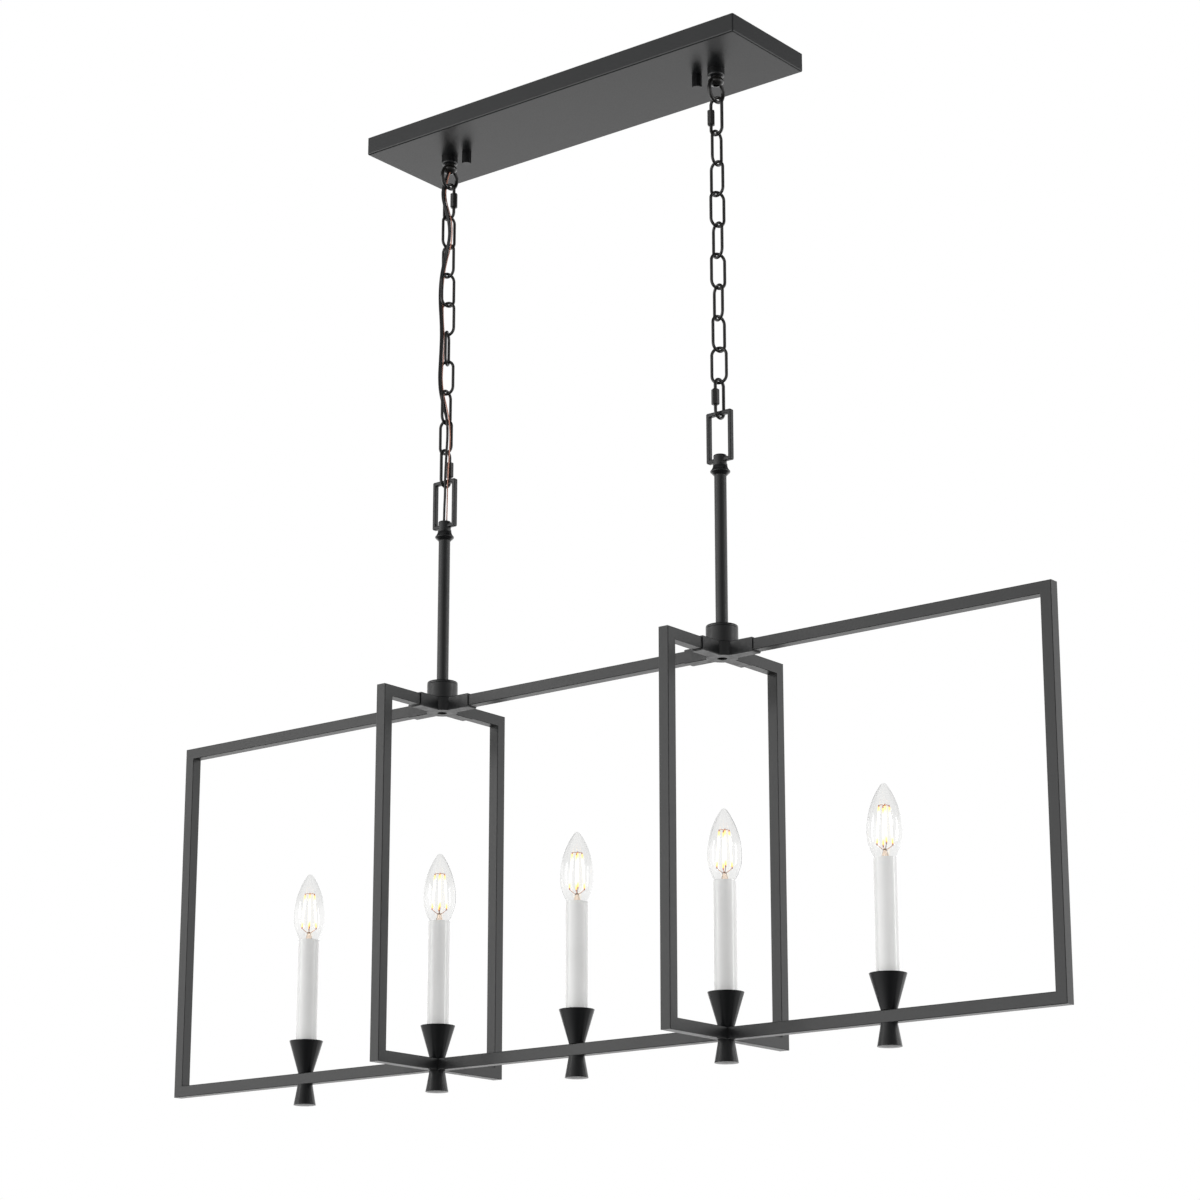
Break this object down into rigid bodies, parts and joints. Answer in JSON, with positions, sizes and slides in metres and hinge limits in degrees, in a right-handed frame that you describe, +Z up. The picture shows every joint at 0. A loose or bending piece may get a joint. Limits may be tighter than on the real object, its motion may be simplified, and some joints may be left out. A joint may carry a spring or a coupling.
{
  "type": "linear island pendant",
  "caption": "Open rectangular cage of square bar with upright candle lamps in a row, hung on two chains from a long ceiling canopy",
  "frame": {"origin": "middle of the ceiling plane, in the middle of the crossbar's two outlet box slots", "axes": "+X along the long frame, +Z up into the ceiling, +Y across"},
  "size_m": [1.131, 0.194, 1.0621],
  "materials": {
    "black_metal": "satin black powder coat",
    "clear_glass": "clear",
    "connector": "moulded, matt",
    "cord_cover": "smooth black insulation",
    "sleeve": "satin white",
    "socket": "moulded, matt",
    "zinc": "zinc plated steel"
  },
  "bodies": {
    "canopy": {"canopy_pan": "black_metal", "ceiling_crossbar": "zinc", "crossbar_screws": "zinc", "wire_nuts": "connector", "loop_locknuts": "zinc", "hang_loop_left": "black_metal", "hang_loop_right": "black_metal", "cord_exit": "cord_cover"},
    "cage": {"stem_loops": "black_metal", "stem_collars": "black_metal", "stems": "black_metal", "lamp_pipes": "zinc", "top_hubs": "black_metal", "hub_caps": "black_metal", "end_frame_left": "black_metal", "end_frame_right": "black_metal", "centre_bars": "black_metal", "cross_frames": "black_metal", "bottom_hubs": "black_metal", "candle_cups": "black_metal", "candle_sleeves": "sleeve", "lamp_sockets": "socket", "candle_finials": "black_metal"},
    "quick_link_top_left": {"quick_link_top_left": "black_metal", "cord_top": "cord_cover"},
    "quick_nut_top_left": {"quick_nut_top_left": "black_metal"},
    "quick_link_bottom_left": {"quick_link_bottom_left": "black_metal", "cord_tail": "cord_cover"},
    "quick_nut_bottom_left": {"quick_nut_bottom_left": "black_metal"},
    "chain_link_left_1": {"chain_link_left_1": "black_metal", "cord_chain": "cord_cover", "cord_bottom": "cord_cover"},
    "chain_link_left_2": {"chain_link_left_2": "black_metal"},
    "chain_link_left_3": {"chain_link_left_3": "black_metal"},
    "chain_link_left_4": {"chain_link_left_4": "black_metal"},
    "chain_link_left_5": {"chain_link_left_5": "black_metal"},
    "chain_link_left_6": {"chain_link_left_6": "black_metal"},
    "chain_link_left_7": {"chain_link_left_7": "black_metal"},
    "chain_link_left_8": {"chain_link_left_8": "black_metal"},
    "thumb_nut_left": {"thumb_nut_left": "black_metal"},
    "loop_collar_left": {"loop_collar_left": "black_metal"},
    "quick_link_top_right": {"quick_link_top_right": "black_metal"},
    "quick_nut_top_right": {"quick_nut_top_right": "black_metal"},
    "quick_link_bottom_right": {"quick_link_bottom_right": "black_metal"},
    "quick_nut_bottom_right": {"quick_nut_bottom_right": "black_metal"},
    "chain_link_right_1": {"chain_link_right_1": "black_metal"},
    "chain_link_right_2": {"chain_link_right_2": "black_metal"},
    "chain_link_right_3": {"chain_link_right_3": "black_metal"},
    "chain_link_right_4": {"chain_link_right_4": "black_metal"},
    "chain_link_right_5": {"chain_link_right_5": "black_metal"},
    "chain_link_right_6": {"chain_link_right_6": "black_metal"},
    "chain_link_right_7": {"chain_link_right_7": "black_metal"},
    "chain_link_right_8": {"chain_link_right_8": "black_metal"},
    "thumb_nut_right": {"thumb_nut_right": "black_metal"},
    "loop_collar_right": {"loop_collar_right": "black_metal"},
    "bulb_1": {"bulb_1": "clear_glass"},
    "bulb_2": {"bulb_2": "clear_glass"},
    "bulb_3": {"bulb_3": "clear_glass"},
    "bulb_4": {"bulb_4": "clear_glass"},
    "bulb_5": {"bulb_5": "clear_glass"}
  },
  "joints": [
    {"name": "sway_fore_aft", "type": "hinge", "parent": "canopy", "child": "quick_link_top_left", "pos_m": [-0.185, 0, -0.0534], "axis": [1, 0, 0], "range_deg": [-25, 25], "deforming": ["cord_exit"]},
    {"name": "right_chain_fore_aft", "type": "hinge", "parent": "canopy", "child": "quick_link_top_right", "pos_m": [0.185, 0, -0.0534], "axis": [1, 0, 0], "range_deg": [-26, 26]},
    {"name": "sway_sideways", "type": "hinge", "parent": "quick_link_top_left", "child": "chain_link_left_1", "pos_m": [-0.185, 0, -0.0912], "axis": [0, 1, 0], "range_deg": [-25, 25], "deforming": ["cord_top"]},
    {"name": "right_chain_sideways", "type": "hinge", "parent": "quick_link_top_right", "child": "chain_link_right_1", "pos_m": [0.185, 0, -0.0912], "axis": [0, 1, 0], "range_deg": [-26, 26]},
    {"name": "left_chain_end_levels", "type": "hinge", "parent": "chain_link_left_1", "child": "quick_link_bottom_left", "pos_m": [-0.185, 0, -0.3655], "axis": [0, 1, 0], "range_deg": [-26, 26], "deforming": ["cord_bottom"]},
    {"name": "right_chain_end_levels", "type": "hinge", "parent": "chain_link_right_1", "child": "quick_link_bottom_right", "pos_m": [0.185, 0, -0.3655], "axis": [0, 1, 0], "range_deg": [-26, 26]},
    {"name": "cage_rock", "type": "hinge", "parent": "quick_link_bottom_left", "child": "cage", "pos_m": [-0.185, 0, -0.4021], "axis": [1, 0, 0], "range_deg": [-15, 15], "deforming": ["cord_tail"]},
    {"name": "link_twist_left_2", "type": "hinge", "parent": "chain_link_left_1", "child": "chain_link_left_2", "pos_m": [-0.185, 0, -0.1444], "axis": [0, 0, 1], "range_deg": [-3, 3]},
    {"name": "link_twist_left_3", "type": "hinge", "parent": "chain_link_left_1", "child": "chain_link_left_3", "pos_m": [-0.185, 0, -0.1787], "axis": [0, 0, 1], "range_deg": [-3, 3]},
    {"name": "link_twist_left_4", "type": "hinge", "parent": "chain_link_left_1", "child": "chain_link_left_4", "pos_m": [-0.185, 0, -0.213], "axis": [0, 0, 1], "range_deg": [-3, 3]},
    {"name": "link_twist_left_5", "type": "hinge", "parent": "chain_link_left_1", "child": "chain_link_left_5", "pos_m": [-0.185, 0, -0.2473], "axis": [0, 0, 1], "range_deg": [-3, 3]},
    {"name": "link_twist_left_6", "type": "hinge", "parent": "chain_link_left_1", "child": "chain_link_left_6", "pos_m": [-0.185, 0, -0.2816], "axis": [0, 0, 1], "range_deg": [-3, 3]},
    {"name": "link_twist_left_7", "type": "hinge", "parent": "chain_link_left_1", "child": "chain_link_left_7", "pos_m": [-0.185, 0, -0.3159], "axis": [0, 0, 1], "range_deg": [-3, 3]},
    {"name": "link_twist_left_8", "type": "hinge", "parent": "chain_link_left_1", "child": "chain_link_left_8", "pos_m": [-0.185, 0, -0.3502], "axis": [0, 0, 1], "range_deg": [-3, 3]},
    {"name": "quick_nut_top_left_opens", "type": "slide", "parent": "quick_link_top_left", "child": "quick_nut_top_left", "axis": [0, 0, 1], "range_m": [0, 0.006]},
    {"name": "quick_nut_bottom_left_opens", "type": "slide", "parent": "quick_link_bottom_left", "child": "quick_nut_bottom_left", "axis": [0, 0, 1], "range_m": [0, 0.006]},
    {"name": "thumb_nut_left_turn", "type": "hinge", "parent": "canopy", "child": "thumb_nut_left", "pos_m": [-0.16, 0, -0.027], "axis": [0, 0, 1], "continuous": true},
    {"name": "loop_collar_left_turn", "type": "hinge", "parent": "canopy", "child": "loop_collar_left", "pos_m": [-0.185, 0, -0.025], "axis": [0, 0, 1], "continuous": true},
    {"name": "link_twist_right_2", "type": "hinge", "parent": "chain_link_right_1", "child": "chain_link_right_2", "pos_m": [0.185, 0, -0.1444], "axis": [0, 0, 1], "range_deg": [-15, 15]},
    {"name": "link_twist_right_3", "type": "hinge", "parent": "chain_link_right_1", "child": "chain_link_right_3", "pos_m": [0.185, 0, -0.1787], "axis": [0, 0, 1], "range_deg": [-15, 15]},
    {"name": "link_twist_right_4", "type": "hinge", "parent": "chain_link_right_1", "child": "chain_link_right_4", "pos_m": [0.185, 0, -0.213], "axis": [0, 0, 1], "range_deg": [-15, 15]},
    {"name": "link_twist_right_5", "type": "hinge", "parent": "chain_link_right_1", "child": "chain_link_right_5", "pos_m": [0.185, 0, -0.2473], "axis": [0, 0, 1], "range_deg": [-15, 15]},
    {"name": "link_twist_right_6", "type": "hinge", "parent": "chain_link_right_1", "child": "chain_link_right_6", "pos_m": [0.185, 0, -0.2816], "axis": [0, 0, 1], "range_deg": [-15, 15]},
    {"name": "link_twist_right_7", "type": "hinge", "parent": "chain_link_right_1", "child": "chain_link_right_7", "pos_m": [0.185, 0, -0.3159], "axis": [0, 0, 1], "range_deg": [-15, 15]},
    {"name": "link_twist_right_8", "type": "hinge", "parent": "chain_link_right_1", "child": "chain_link_right_8", "pos_m": [0.185, 0, -0.3502], "axis": [0, 0, 1], "range_deg": [-15, 15]},
    {"name": "quick_nut_top_right_opens", "type": "slide", "parent": "quick_link_top_right", "child": "quick_nut_top_right", "axis": [0, 0, 1], "range_m": [0, 0.006]},
    {"name": "quick_nut_bottom_right_opens", "type": "slide", "parent": "quick_link_bottom_right", "child": "quick_nut_bottom_right", "axis": [0, 0, 1], "range_m": [0, 0.006]},
    {"name": "thumb_nut_right_turn", "type": "hinge", "parent": "canopy", "child": "thumb_nut_right", "pos_m": [0.16, 0, -0.027], "axis": [0, 0, 1], "continuous": true},
    {"name": "loop_collar_right_turn", "type": "hinge", "parent": "canopy", "child": "loop_collar_right", "pos_m": [0.185, 0, -0.025], "axis": [0, 0, 1], "continuous": true},
    {"name": "bulb_1_screws_out", "type": "hinge", "parent": "cage", "child": "bulb_1", "pos_m": [-0.37225, 0, -0.88], "axis": [0, 0, 1], "continuous": true},
    {"name": "bulb_2_screws_out", "type": "hinge", "parent": "cage", "child": "bulb_2", "pos_m": [-0.185, 0, -0.88], "axis": [0, 0, 1], "continuous": true},
    {"name": "bulb_3_screws_out", "type": "hinge", "parent": "cage", "child": "bulb_3", "pos_m": [0, 0, -0.88], "axis": [0, 0, 1], "continuous": true},
    {"name": "bulb_4_screws_out", "type": "hinge", "parent": "cage", "child": "bulb_4", "pos_m": [0.185, 0, -0.88], "axis": [0, 0, 1], "continuous": true},
    {"name": "bulb_5_screws_out", "type": "hinge", "parent": "cage", "child": "bulb_5", "pos_m": [0.37225, 0, -0.88], "axis": [0, 0, 1], "continuous": true}
  ],
  "couplings": [
    {"joint": "right_chain_fore_aft", "follows": "sway_fore_aft", "ratio": 1},
    {"joint": "right_chain_sideways", "follows": "sway_sideways", "ratio": 1},
    {"joint": "left_chain_end_levels", "follows": "sway_sideways", "ratio": -1},
    {"joint": "right_chain_end_levels", "follows": "sway_sideways", "ratio": -1}
  ]
}
